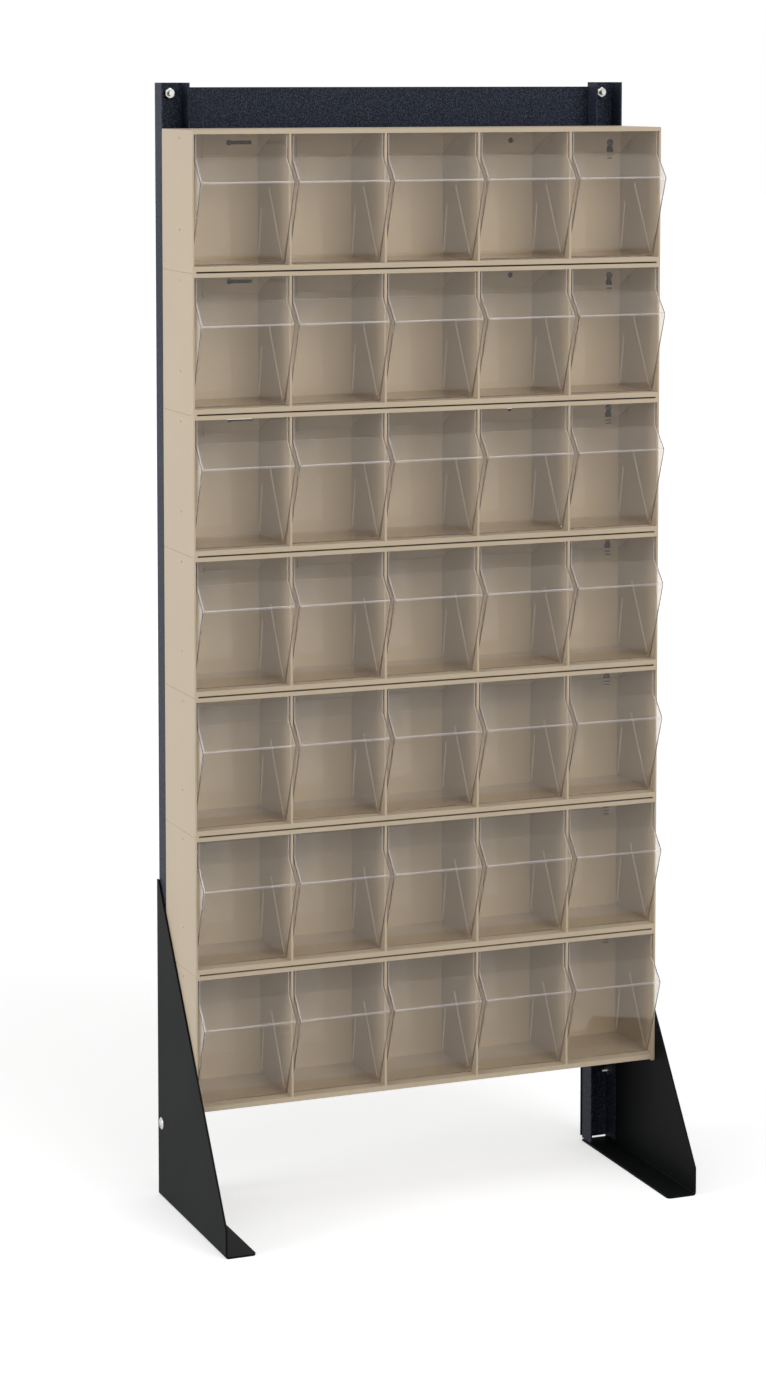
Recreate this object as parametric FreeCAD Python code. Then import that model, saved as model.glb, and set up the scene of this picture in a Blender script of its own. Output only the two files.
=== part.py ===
import FreeCAD, Part
import math
import os

os.makedirs("parts", exist_ok=True)

# A floor stand of two channel posts, two cross rails and two bent feet carries a stack of
# moulded bin cabinets. Each cabinet holds a row of clear cups that tip out on moulded pins.
# X runs to the right, Y to the back and Z up. The origin is on the floor, under the middle
# of the box that holds the whole stand. All sizes are in millimetres.

# How many of each
cabinet_count = 7
cups_per_cabinet = 5

# Height of the lowest cabinet above the floor
floor_gap = 138.5

# Bin cabinet
cabinet_width = 600.0
cabinet_depth = 110.0
cabinet_height = 165.1
side_wall = 2.5
divider_wall = 2.5
back_wall = 2.5
floor_wall = 2.4
top_wall = 2.0
top_lip_height = 5.0
bottom_lip_height = 5.8
lip_depth = 3.0
foot_relief = 1.9
foot_width = 5.0
cabinet_edge_radius = 0.8

# Rest pad behind each cup, with a thin strip from it up to the ceiling
pad_width = 12.5
pad_depth = 2.0
pad_foot_height = 5.0
pad_strip_depth = 0.8
pad_overlap = 3.5

# Tip out cup
cup_wall = 1.7
cup_side_gap = 0.5
cup_floor_gap = 0.3
cup_sweep_gap = 0.5
nose_reach = 23.4
nose_drop = 60.0
bend_drop = 33.0
cup_front_radius = 3.0
cup_back_radius = 1.5

# Hinge pins of the cup and their sockets
pivot_setback = 16.0
pin_radius = 2.4
pin_clearance = 0.06
pin_length = 1.5
pin_skirt = 0.3
socket_depth = 1.4

# Keyholes and slots in the cabinet's back
hanger_drop = 20.8
hanger_slot_play = 0.3
mouth_play = 0.25
mouth_drop = 7.4
tick_slot_count = 2
tick_slot_width = 8.0
tick_slot_height = 1.5
tick_slot_pitch = 3.8

# Spare holes in the cabinet's back and sides
wall_hole_drop = 17.1
wall_slot_inset = 82.8
wall_slot_radius = 3.5
wall_slot_reach = 28.8
wall_slot_bar = 4.5
round_hole_inset = 151.8
round_hole_radius = 3.75
side_hole_radius = 1.25
side_hole_setback = 45.0
side_hole_drop = 10.0
side_hole_rise = 49.0

# Channel post
post_width = 35.0
post_depth = 28.0
post_gauge = 2.0
post_bend_radius = 3.0

# Cross rail
rail_gauge = 3.0
rail_end_inset = 2.0
rail_corner_radius = 3.0
rail_screw_spacing = 62.1
rail_screw_margin = 7.0
post_above_rail = 5.5
bottom_rail_rise = 12.0

# Bent foot
leg_height = 390.0
leg_depth = 250.0
leg_gauge = 2.5
leg_bend_radius = 4.0
leg_toe_height = 34.0
leg_top_width = 8.0
leg_flange_margin = 0.5
leg_flange_drop = 20.0
leg_corner_radius = 5.0
leg_relief = 6.0
leg_screw_height = 92.5

# Frame screw and nut
screw_radius = 3.175
screw_length = 15.9
screw_head_radius = 7.25
screw_head_height = 3.4
screw_slot_width = 1.6
screw_slot_depth = 1.4
screw_slot_turn = 40.0
screw_hole_play = 0.3
nut_flats = 11.1
nut_height = 5.6
nut_play = 0.05

# Hanger screw and nut
hanger_radius = 2.4
hanger_length = 38.0
hanger_head_radius = 4.3
hanger_head_height = 2.8
hanger_nut_flats = 9.5
hanger_nut_height = 3.2

# Heights inside one cabinet, from its own underside
cabinet_floor = foot_relief + bottom_lip_height
cabinet_ceiling = cabinet_height - top_wall
lip_underside = cabinet_height - top_lip_height
hanger_height = cabinet_height - hanger_drop
wall_hole_height = cabinet_height - wall_hole_drop

# Depths, counted back from the front face of the cabinets
inner_back = cabinet_depth - back_wall
post_back = cabinet_depth + post_depth
top_rail_back = post_back + rail_gauge
foot_back = post_back + leg_gauge
bottom_rail_back = foot_back + rail_gauge
leg_screw_setback = cabinet_depth + post_depth / 2
leg_toe = foot_back - leg_depth
front_face = -(leg_toe + bottom_rail_back + screw_head_height) / 2

# Places across the stand
half_width = cabinet_width / 2
post_center = half_width - post_width / 2
clear_width = cabinet_width - 2 * side_wall - (cups_per_cabinet - 1) * divider_wall
bay_width = clear_width / cups_per_cabinet
bay_pitch = bay_width + divider_wall
cup_half_width = bay_width / 2 - cup_side_gap
cup_inside = cup_half_width - cup_wall

# Hinge line of the cup and the arcs that it sweeps
heel_arc_radius = pin_radius + pin_skirt
cup_bottom = cabinet_floor + cup_floor_gap
pivot_height = cup_bottom + heel_arc_radius
socket_radius = pin_radius + pin_clearance
lip_corner_reach = math.hypot(pivot_setback - lip_depth, lip_underside - pivot_height)
side_arc_radius = lip_corner_reach - cup_sweep_gap
back_arc_radius = cabinet_ceiling - pivot_height - cup_sweep_gap

# Corners of the cup in the side view, as depths and heights
cup_top = lip_underside - cup_sweep_gap
cup_back = inner_back - pad_depth
cup_inner_back = cup_back - cup_wall
cup_back_top = pivot_height + math.sqrt(back_arc_radius**2 - (cup_back - pivot_setback)**2)
nose = (-nose_reach, cabinet_height - nose_drop)
bend = (0.0, cabinet_height - bend_drop)
rim = (0.0, cup_top)
back_inner = (cup_inner_back, cup_back_top)
back_outer = (cup_back, cup_back_top)
back_bottom = (cup_back, cup_bottom)

# Heights on the stand
top_hanger_height = floor_gap + (cabinet_count - 1) * cabinet_height + hanger_height
rail_height = rail_screw_spacing + 2 * rail_screw_margin
top_rail_top = top_hanger_height + rail_screw_spacing + rail_screw_margin
post_top = top_rail_top + post_above_rail
bottom_rail_top = floor_gap + bottom_rail_rise + rail_height
leg_flange_top = leg_height - leg_flange_drop

# Cuts run past the faces they open by this much, and places match within the tolerance
cut_past = 1.0
place_tolerance = 0.01

to_right = FreeCAD.Vector(1, 0, 0)
to_back = FreeCAD.Vector(0, 1, 0)
upwards = FreeCAD.Vector(0, 0, 1)


def block(x_span, y_span, z_span):
    """A box between pairs of places, with Y counted back from the cabinets' front face."""
    corner = FreeCAD.Vector(x_span[0], front_face + y_span[0], z_span[0])
    return Part.makeBox(x_span[1] - x_span[0], y_span[1] - y_span[0], z_span[1] - z_span[0], corner)


def rod_across(radius, x_span, y, z):
    """A round bar along X."""
    start = FreeCAD.Vector(x_span[0], front_face + y, z)
    return Part.makeCylinder(radius, x_span[1] - x_span[0], start, to_right)


def rod_back(radius, x, y_span, z):
    """A round bar along Y."""
    start = FreeCAD.Vector(x, front_face + y_span[0], z)
    return Part.makeCylinder(radius, y_span[1] - y_span[0], start, to_back)


def side_point(place):
    """A point of a side view outline, given by its depth and height."""
    return FreeCAD.Vector(0, front_face + place[0], place[1])


def side_line(start, end):
    """A straight edge of a side view outline."""
    return Part.LineSegment(side_point(start), side_point(end)).toShape()


def side_arc(start, middle, end):
    """A round edge of a side view outline."""
    return Part.Arc(side_point(start), side_point(middle), side_point(end)).toShape()


def side_polygon(corners):
    """Straight edges from corner to corner and back to the first."""
    return [side_line(corners[i - 1], corners[i]) for i in range(len(corners))]


def side_prism(edges, x_span):
    """The outline drawn in the side view, run across from one X to the other."""
    face = Part.Face(Part.Wire(edges))
    face.translate(to_right * x_span[0])
    return face.extrude(to_right * (x_span[1] - x_span[0]))


def round_edges(shape, radius, test):
    """Rounds the edges that pass a test on their middle and on the axis they mostly run along."""
    chosen = []
    for edge in shape.Edges:
        middle = edge.valueAt((edge.FirstParameter + edge.LastParameter) / 2)
        box = edge.BoundBox
        spans = {"x": box.XLength, "y": box.YLength, "z": box.ZLength}
        if test(middle.x, middle.y - front_face, middle.z, max(spans, key=spans.get)):
            chosen.append(edge)
    return shape.makeFillet(radius, chosen)


def close_to(value, target):
    """Whether a place is the named one."""
    return abs(value - target) < place_tolerance


def mirrored(shape):
    """The same piece for the other side of the stand."""
    return shape.mirror(FreeCAD.Vector(0, 0, 0), to_right)


def moved(shape, x, z):
    """A copy of a piece, moved across and up."""
    copy = shape.copy()
    copy.translate(FreeCAD.Vector(x, 0, z))
    return copy


def turned(shape, place, direction):
    """A copy of a piece made along Z, set at a place and turned to a direction."""
    copy = shape.copy()
    at = FreeCAD.Vector(place[0], front_face + place[1], place[2])
    copy.Placement = FreeCAD.Placement(at, FreeCAD.Rotation(upwards, direction))
    return copy


def save(name, solids):
    """Writes one piece, or a group of alike pieces, to its file."""
    for solid in solids:
        if not solid.isValid():
            raise ValueError(name + " is not a valid solid")
    shape = solids[0] if len(solids) == 1 else Part.makeCompound(solids)
    shape.exportStep("parts/" + name + ".step")


def bay_center(bay):
    """The middle of one bay, counted from the left."""
    return (bay - (cups_per_cabinet - 1) / 2) * bay_pitch


def hanger_heights():
    """The heights of the screws that the cabinets hang on, from the bottom up."""
    return [floor_gap + level * cabinet_height + hanger_height for level in range(cabinet_count)]


def rail_screw_heights(rail_top):
    """The heights of the two screws at each end of a rail."""
    upper = rail_top - rail_screw_margin
    return [upper, upper - rail_screw_spacing]


# The keyhole that drops over a hanger screw, with short slots below it
def hanger_holes(x):
    y_span = (inner_back - cut_past, cabinet_depth + cut_past)
    slot_radius = hanger_radius + hanger_slot_play
    mouth_radius = hanger_head_radius + mouth_play
    mouth_height = hanger_height - mouth_drop
    mouth_bottom = mouth_height - mouth_radius
    cuts = [rod_back(slot_radius, x, y_span, hanger_height)]
    cuts.append(block((x - slot_radius, x + slot_radius), y_span, (mouth_height, hanger_height)))
    cuts.append(rod_back(mouth_radius, x, y_span, mouth_height))
    cuts.append(block((x - mouth_radius, x + mouth_radius), y_span, (mouth_bottom, mouth_height)))
    for step in range(tick_slot_count):
        middle = mouth_bottom - (step + 1) * tick_slot_pitch
        z_span = (middle - tick_slot_height / 2, middle + tick_slot_height / 2)
        cuts.append(block((x - tick_slot_width / 2, x + tick_slot_width / 2), y_span, z_span))
    return cuts


# The spare holes for hanging a cabinet on a wall instead
def wall_holes(side):
    y_span = (inner_back - cut_past, cabinet_depth + cut_past)
    slot_x = side * (half_width - wall_slot_inset)
    x_span = sorted((slot_x, slot_x - side * wall_slot_reach))
    z_span = (wall_hole_height - wall_slot_bar / 2, wall_hole_height + wall_slot_bar / 2)
    round_x = side * (half_width - round_hole_inset)
    return [
        rod_back(wall_slot_radius, slot_x, y_span, wall_hole_height),
        block(x_span, y_span, z_span),
        rod_back(round_hole_radius, round_x, y_span, wall_hole_height),
    ]


# The small holes through both side walls
def side_holes():
    cuts = []
    wall_inside = half_width - side_wall - cut_past
    wall_outside = half_width + cut_past
    for height in (cabinet_height - side_hole_drop, side_hole_rise):
        for x_span in ((-wall_outside, -wall_inside), (wall_inside, wall_outside)):
            cuts.append(rod_across(side_hole_radius, x_span, side_hole_setback, height))
    return cuts


# The space for one cup, with a lip above and below its mouth
def bay_hollow(bay):
    x_span = (bay_center(bay) - bay_width / 2, bay_center(bay) + bay_width / 2)
    return [
        block(x_span, (lip_depth, inner_back), (cabinet_floor, cabinet_ceiling)),
        block(x_span, (-cut_past, lip_depth), (cabinet_floor, lip_underside)),
    ]


# The pad on the back wall that a closed cup leans on, and the strip above it
def rest_pad(bay):
    x_span = (bay_center(bay) - pad_width, bay_center(bay))
    in_wall = inner_back + back_wall / 2
    pad_bottom = cup_back_top - pad_overlap
    return [
        block(x_span, (inner_back - pad_depth, in_wall), (pad_bottom, pad_bottom + pad_foot_height)),
        block(x_span, (inner_back - pad_strip_depth, in_wall), (pad_bottom, cabinet_ceiling + top_wall / 2)),
    ]


# Cabinet: one moulded shell with dividers, open at the front and hollow under its floor
def make_cabinet():
    shell = block((-half_width, half_width), (0, cabinet_depth), (0, cabinet_height))
    shell = round_edges(shell, cabinet_edge_radius, lambda x, y, z, run: close_to(abs(x), half_width))
    foot_inside = half_width - foot_width
    wall_inside = half_width - side_wall
    hollow_top = cabinet_floor - floor_wall
    socket_end = wall_inside + socket_depth
    cuts = side_holes()
    cuts.append(block((-foot_inside, foot_inside), (-cut_past, lip_depth), (-cut_past, foot_relief)))
    cuts.append(block((-wall_inside, wall_inside), (lip_depth, inner_back), (-cut_past, hollow_top)))
    cuts.append(rod_across(socket_radius, (-socket_end, socket_end), pivot_setback, pivot_height))
    pads = []
    for bay in range(cups_per_cabinet):
        cuts += bay_hollow(bay)
        pads += rest_pad(bay)
    shell = shell.cut(cuts).fuse(pads)
    holes = []
    for side in (-1, 1):
        holes += hanger_holes(side * post_center)
        holes += wall_holes(side)
    return shell.cut(holes).removeSplitter().Solids[0]


def around_hinge(radius, angle):
    """A place about the hinge line, with the angle counted up from straight back."""
    return (pivot_setback + radius * math.cos(angle), pivot_height + radius * math.sin(angle))


# The heel is rounded about the hinge line and runs into the front without a corner
def heel_arc():
    forward = -pivot_setback - nose_reach
    rise = nose[1] - pivot_height
    end_angle = math.atan2(rise, forward) + math.acos(heel_arc_radius / math.hypot(forward, rise))
    start_angle = 1.5 * math.pi
    middle_angle = (start_angle + end_angle) / 2
    return [around_hinge(heel_arc_radius, angle) for angle in (start_angle, middle_angle, end_angle)]


# The top of each side wall is cut to the arc that clears the cabinet's lip
def sweep_arc():
    start_angle = math.asin((cup_top - pivot_height) / side_arc_radius)
    end_angle = math.acos((cup_inner_back - pivot_setback) / side_arc_radius)
    middle_angle = (start_angle + end_angle) / 2
    return [around_hinge(side_arc_radius, angle) for angle in (start_angle, middle_angle, end_angle)]


def cup_outline():
    """The outside of the cup, seen from the side."""
    heel_bottom, heel_middle, heel_front = heel_arc()
    sweep_start, sweep_middle, sweep_end = sweep_arc()
    return [
        side_line(heel_front, nose),
        side_line(nose, bend),
        side_line(bend, rim),
        side_line(rim, sweep_start),
        side_arc(sweep_start, sweep_middle, sweep_end),
        side_line(sweep_end, back_inner),
        side_line(back_inner, back_outer),
        side_line(back_outer, back_bottom),
        side_line(back_bottom, heel_bottom),
        side_arc(heel_bottom, heel_middle, heel_front),
    ]


def offset_crossing(first, second, distance):
    """Where two neighbouring lines of an outline cross once both move inwards."""
    lines = []
    for start, end in (first, second):
        length = math.hypot(end[0] - start[0], end[1] - start[1])
        normal = ((end[1] - start[1]) / length, -(end[0] - start[0]) / length)
        reach = normal[0] * start[0] + normal[1] * start[1] + distance
        lines.append((normal[0], normal[1], reach))
    (a, b, c), (d, e, f) = lines
    area = a * e - b * d
    return ((c * e - b * f) / area, (a * f - c * d) / area)


def cup_hollow_corners():
    """The inside of the cup, one wall in from the outside and open at the top."""
    heel_bottom, heel_middle, heel_front = heel_arc()
    open_top = cup_top + cut_past
    return [
        offset_crossing((back_bottom, heel_bottom), (heel_front, nose), cup_wall),
        offset_crossing((heel_front, nose), (nose, bend), cup_wall),
        offset_crossing((nose, bend), (bend, rim), cup_wall),
        (cup_wall, open_top),
        (cup_inner_back, open_top),
        (cup_inner_back, cup_bottom + cup_wall),
    ]


# Cup: a clear moulded tray with its front pushed out to a nose, and a hinge pin on each side
def make_cup():
    def on_front(x, y, z, run):
        return y < cup_wall and cup_bottom < z < cup_top - cut_past

    def on_back(x, y, z, run):
        return close_to(y, cup_back) and z < cup_back_top - cut_past

    def in_front(x, y, z, run):
        return y < 2 * cup_wall and cup_bottom + 2 * cup_wall < z < cup_top

    body = side_prism(cup_outline(), (-cup_half_width, cup_half_width))
    body = round_edges(body, cup_front_radius, on_front)
    body = round_edges(body, cup_back_radius, on_back)
    hollow = side_prism(side_polygon(cup_hollow_corners()), (-cup_inside, cup_inside))
    hollow = round_edges(hollow, cup_front_radius - cup_wall, in_front)
    body = body.cut(hollow)
    pins = []
    for side in (-1, 1):
        x_span = sorted((side * cup_inside, side * (cup_half_width + pin_length)))
        pins.append(rod_across(pin_radius, x_span, pivot_setback, pivot_height))
    return body.fuse(pins).removeSplitter().Solids[0]


# Right post: a channel with its web at the back and two flanges forward to the cabinets
def make_post():
    inner_x = half_width - post_width
    body = block((inner_x, half_width), (cabinet_depth, post_back), (leg_bend_radius, post_top))
    web_front = post_back - post_gauge
    hollow_x = (inner_x + post_gauge, half_width - post_gauge)
    hollow = block(hollow_x, (cabinet_depth - cut_past, web_front), (0, post_top + cut_past))
    hollow = round_edges(
        hollow,
        post_bend_radius - post_gauge,
        lambda x, y, z, run: run == "z" and close_to(y, web_front),
    )
    body = round_edges(
        body,
        post_bend_radius,
        lambda x, y, z, run: run == "z" and close_to(y, post_back),
    )
    web_span = (web_front - cut_past, post_back + cut_past)
    frame_hole = screw_radius + screw_hole_play
    hanger_hole = hanger_radius + screw_hole_play
    frame_heights = [rail_screw_heights(top_rail_top)[0]] + rail_screw_heights(bottom_rail_top)
    cuts = [hollow]
    cuts += [rod_back(frame_hole, post_center, web_span, height) for height in frame_heights]
    cuts += [rod_back(hanger_hole, post_center, web_span, height) for height in hanger_heights()]
    flange_span = (half_width - post_gauge - cut_past, half_width + cut_past)
    cuts.append(rod_across(frame_hole, flange_span, leg_screw_setback, leg_screw_height))
    return body.cut(cuts).Solids[0]


# Cross rail: a flat bar with two holes at each end, the same at the top and at the bottom
def make_rail(back, top):
    half_length = half_width - rail_end_inset
    y_span = (back - rail_gauge, back)
    body = block((-half_length, half_length), y_span, (top - rail_height, top))
    body = round_edges(
        body,
        rail_corner_radius,
        lambda x, y, z, run: run == "y",
    )
    hole_span = (back - rail_gauge - cut_past, back + cut_past)
    cuts = []
    for height in rail_screw_heights(top):
        for side in (-1, 1):
            cuts.append(rod_back(screw_radius + screw_hole_play, side * post_center, hole_span, height))
    return body.cut(cuts).Solids[0]


# Right foot: a sloping side plate outside the post, a flange behind it and one on the floor
def make_leg():
    outer_x = half_width + leg_gauge
    flange_x = half_width - post_width - leg_flange_margin
    slope_top = foot_back - leg_top_width
    corners = [
        (foot_back, 0.0),
        (leg_toe, 0.0),
        (leg_toe, leg_toe_height),
        (slope_top, leg_height),
        (foot_back, leg_height),
    ]
    body = side_prism(side_polygon(corners), (flange_x, outer_x))
    body = round_edges(
        body,
        leg_corner_radius,
        lambda x, y, z, run: run == "x" and z > leg_toe_height / 2 and y < foot_back - place_tolerance,
    )
    body = round_edges(
        body,
        leg_bend_radius,
        lambda x, y, z, run: close_to(x, outer_x) and (close_to(y, foot_back) or close_to(z, 0.0)),
    )
    hollow_x = (flange_x - cut_past, half_width)
    hollow_y = (leg_toe - cut_past, post_back)
    hollow = block(hollow_x, hollow_y, (leg_gauge, leg_height + cut_past))
    hollow = round_edges(
        hollow,
        leg_bend_radius - leg_gauge,
        lambda x, y, z, run: close_to(x, half_width) and (close_to(y, post_back) or close_to(z, leg_gauge)),
    )
    past_back = foot_back + cut_past
    relief_y = (foot_back - leg_relief, past_back)
    cuts = [hollow]
    cuts.append(block((flange_x - cut_past, half_width), relief_y, (-cut_past, leg_relief)))
    cuts.append(block(hollow_x, (post_back - cut_past, past_back), (leg_flange_top, leg_height + cut_past)))
    hole_span = (post_back - cut_past, past_back)
    for height in rail_screw_heights(bottom_rail_top):
        cuts.append(rod_back(screw_radius + screw_hole_play, post_center, hole_span, height))
    for height in hanger_heights():
        if height < leg_flange_top:
            cuts.append(rod_back(hanger_radius + screw_hole_play, post_center, hole_span, height))
    plate_span = (half_width - cut_past, outer_x + cut_past)
    leg_hole = screw_radius + screw_hole_play
    cuts.append(rod_across(leg_hole, plate_span, leg_screw_setback, leg_screw_height))
    body = body.cut(cuts)
    return round_edges(
        body,
        leg_corner_radius,
        lambda x, y, z, run: close_to(x, flange_x) and is_free_corner(y, z, run),
    ).Solids[0]


def is_free_corner(y, z, run):
    """Whether an edge is one of the foot's two outer flange corners."""
    return (run == "z" and close_to(y, leg_toe)) or (run == "y" and close_to(z, leg_flange_top))


def domed_head(radius, height):
    """A low round head that stands on the XY plane."""
    ball_radius = (radius**2 + height**2) / (2 * height)
    ball = Part.makeSphere(ball_radius, upwards * (height - ball_radius))
    return ball.common(Part.makeCylinder(radius + cut_past, height))


# Slotted screw, with its head on the XY plane and its shank below
def make_screw(radius, length, head_radius, head_height):
    head = domed_head(head_radius, head_height)
    slot_corner = FreeCAD.Vector(-head_radius, -screw_slot_width / 2, head_height - screw_slot_depth)
    slot = Part.makeBox(2 * head_radius, screw_slot_width, screw_slot_depth, slot_corner)
    slot.rotate(FreeCAD.Vector(0, 0, 0), upwards, screw_slot_turn)
    shank = Part.makeCylinder(radius, length, upwards * -length)
    return head.cut(slot).fuse(shank).removeSplitter().Solids[0]


# Hexagon nut with its seat on the XY plane and its outer corners taken off
def make_nut(screw, flats, height):
    corner_radius = flats / math.sqrt(3)
    points = []
    for i in range(7):
        angle = (i + 0.5) * math.pi / 3
        points.append(FreeCAD.Vector(corner_radius * math.cos(angle), corner_radius * math.sin(angle), 0))
    body = Part.Face(Part.makePolygon(points)).extrude(upwards * height)
    bevel = Part.makeCone(flats / 2 + height * math.sqrt(3), flats / 2, height)
    bore = Part.makeCylinder(screw + nut_play, height)
    return body.common(bevel).cut(bore).Solids[0]


def hanger_seat(height):
    """How far back the last plate behind a hanger screw reaches."""
    if height < leg_flange_top:
        return foot_back
    if height > top_rail_top - rail_height:
        return top_rail_back
    return post_back


cabinet = make_cabinet()
cup = make_cup()
for level in range(cabinet_count):
    rise = floor_gap + level * cabinet_height
    level_name = str(level + 1)
    save("cabinet_" + level_name, [moved(cabinet, 0, rise)])
    for bay in range(cups_per_cabinet):
        save("cup_" + level_name + "_" + str(bay + 1), [moved(cup, bay_center(bay), rise)])

post = make_post()
save("post_right", [post])
save("post_left", [mirrored(post)])

save("top_rail", [make_rail(top_rail_back, top_rail_top)])
save("bottom_rail", [make_rail(bottom_rail_back, bottom_rail_top)])

leg = make_leg()
save("leg_right", [leg])
save("leg_left", [mirrored(leg)])

frame_screw = make_screw(screw_radius, screw_length, screw_head_radius, screw_head_height)
frame_nut = make_nut(screw_radius, nut_flats, nut_height)
hanger_screw = make_screw(hanger_radius, hanger_length, hanger_head_radius, hanger_head_height)
hanger_nut = make_nut(hanger_radius, hanger_nut_flats, hanger_nut_height)

# The top rail shares its lower holes with the top cabinet's hanger screws
rail_places = [(top_rail_back, rail_screw_heights(top_rail_top)[0])]
rail_places += [(bottom_rail_back, height) for height in rail_screw_heights(bottom_rail_top)]
rail_screws = []
rail_nuts = []
leg_screws = []
leg_nuts = []
hanger_screws = []
hanger_nuts = []
for side in (-1, 1):
    post_x = side * post_center
    outwards = to_right * side
    for depth, height in rail_places:
        rail_screws.append(turned(frame_screw, (post_x, depth, height), to_back))
        rail_nuts.append(turned(frame_nut, (post_x, post_back - post_gauge, height), -to_back))
    for height in hanger_heights():
        hanger_screws.append(turned(hanger_screw, (post_x, inner_back, height), -to_back))
        hanger_nuts.append(turned(hanger_nut, (post_x, hanger_seat(height), height), to_back))
    plate_x = side * (half_width + leg_gauge)
    leg_screws.append(turned(frame_screw, (plate_x, leg_screw_setback, leg_screw_height), outwards))
    flange_x = side * (half_width - post_gauge)
    leg_nuts.append(turned(frame_nut, (flange_x, leg_screw_setback, leg_screw_height), -outwards))
save("rail_screws", rail_screws)
save("rail_nuts", rail_nuts)
save("leg_screws", leg_screws)
save("leg_nuts", leg_nuts)
save("hanger_screws", hanger_screws)
save("hanger_nuts", hanger_nuts)
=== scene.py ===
import math

import bmesh
import bpy
from mathutils import Matrix, Vector


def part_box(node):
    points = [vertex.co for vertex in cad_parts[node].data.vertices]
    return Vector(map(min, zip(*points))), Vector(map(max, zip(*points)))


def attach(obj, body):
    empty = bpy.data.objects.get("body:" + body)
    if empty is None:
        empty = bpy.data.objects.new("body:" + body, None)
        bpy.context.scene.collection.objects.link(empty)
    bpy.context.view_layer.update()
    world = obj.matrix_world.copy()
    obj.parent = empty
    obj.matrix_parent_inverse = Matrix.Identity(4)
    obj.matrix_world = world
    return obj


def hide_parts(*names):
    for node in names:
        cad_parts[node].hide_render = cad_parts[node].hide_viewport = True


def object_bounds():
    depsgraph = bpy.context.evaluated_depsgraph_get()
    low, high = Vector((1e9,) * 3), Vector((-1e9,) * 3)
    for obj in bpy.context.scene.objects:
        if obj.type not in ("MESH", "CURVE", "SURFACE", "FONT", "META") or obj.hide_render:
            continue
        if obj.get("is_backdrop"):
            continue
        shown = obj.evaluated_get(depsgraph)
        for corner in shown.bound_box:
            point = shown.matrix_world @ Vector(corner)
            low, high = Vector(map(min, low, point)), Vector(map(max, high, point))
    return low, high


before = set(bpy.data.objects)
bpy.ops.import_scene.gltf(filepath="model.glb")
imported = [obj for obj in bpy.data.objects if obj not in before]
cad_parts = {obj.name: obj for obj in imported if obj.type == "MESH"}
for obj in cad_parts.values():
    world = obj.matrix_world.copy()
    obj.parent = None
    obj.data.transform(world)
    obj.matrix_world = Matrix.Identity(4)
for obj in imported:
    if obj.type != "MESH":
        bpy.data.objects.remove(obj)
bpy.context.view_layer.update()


# Camera at the photograph's angle, to the left of the stand and a little above its middle.
# The picture is 1400 pixels high. The lens is shifted down, which keeps the posts upright.
def add_object(name, data):
    """A new object in the scene, at the origin and unturned."""
    made = bpy.data.objects.new(name, data)
    bpy.context.scene.collection.objects.link(made)
    return made


picture_height = 1400
sensor_width = 36.0
lens_pixels = 3399.8
lens_shift = -0.235
view_turn = 0.3816
view_dip = 0.0876
view_limit = 100.0
camera_place = Vector((-1.5514, -3.7265, 1.36))
camera_data = bpy.data.cameras.new("photo_camera")
camera_data.sensor_width = sensor_width
camera_data.lens = sensor_width * lens_pixels / picture_height
camera_data.shift_y = lens_shift
camera_data.clip_end = view_limit
camera = add_object("photo_camera", camera_data)
ahead = Vector((
    math.sin(view_turn) * math.cos(view_dip),
    math.cos(view_turn) * math.cos(view_dip),
    -math.sin(view_dip),
))
camera.location = camera_place
camera.rotation_euler = ahead.to_track_quat("-Z", "Y").to_euler()
bpy.context.scene.camera = camera


# Bin cabinets: each is one moulded shell of ivory beige plastic with thin dividers.
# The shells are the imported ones, with their sharp edges eased as a mould leaves them.
# They stack on each other and hang on the posts by the keyholes in their backs.
def put(tree, kind, inputs=(), **settings):
    """Adds a node with its settings, and its inputs as values or links."""
    made = tree.nodes.new(kind)
    for name, value in settings.items():
        setattr(made, name, value)
    for socket, value in dict(inputs).items():
        if isinstance(value, bpy.types.NodeSocket):
            tree.links.new(value, made.inputs[socket])
        else:
            made.inputs[socket].default_value = value
    return made


def sockets(tree, side, **kinds):
    """Names a group's inputs or outputs."""
    for name, kind in kinds.items():
        tree.interface.new_socket(
            name.replace("_", " "), in_out=side, socket_type="NodeSocket" + kind,
        )


def start_material(name):
    """A new material with an empty node tree."""
    material = bpy.data.materials.new(name)
    material.use_nodes = True
    material.node_tree.nodes.clear()
    return material, material.node_tree


def end_material(tree, shader):
    """Joins the finished shader to the material's output."""
    put(tree, "ShaderNodeOutputMaterial", {"Surface": shader})


def moulded_surface():
    """Shader group for moulded plastic: slow clouds of tone, and a fine grain of small height."""
    tree = bpy.data.node_groups.new("Moulded surface", "ShaderNodeTree")
    sockets(tree, "INPUT", Cloud_Size="Float", Grain_Size="Float")
    sockets(tree, "OUTPUT", Cloud="Float", Grain="Float")
    given = tree.nodes.new("NodeGroupInput")
    place = put(tree, "ShaderNodeTexCoord").outputs["Object"]
    cloud = put(tree, "ShaderNodeTexNoise", {
        "Vector": place, "Scale": given.outputs["Cloud Size"], "Detail": 3.0, "Roughness": 0.55,
    })
    grain = put(tree, "ShaderNodeTexNoise", {
        "Vector": place, "Scale": given.outputs["Grain Size"], "Detail": 2.0, "Roughness": 0.6,
    })
    put(tree, "NodeGroupOutput", {"Cloud": cloud.outputs["Fac"], "Grain": grain.outputs["Fac"]})
    return tree


moulded_group = moulded_surface()


def ramp_value(tree, source, low, high):
    """Spreads a mask over a range of values."""
    made = put(tree, "ShaderNodeMapRange", {"Value": source, "To Min": low, "To Max": high})
    return made.outputs[0]


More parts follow.
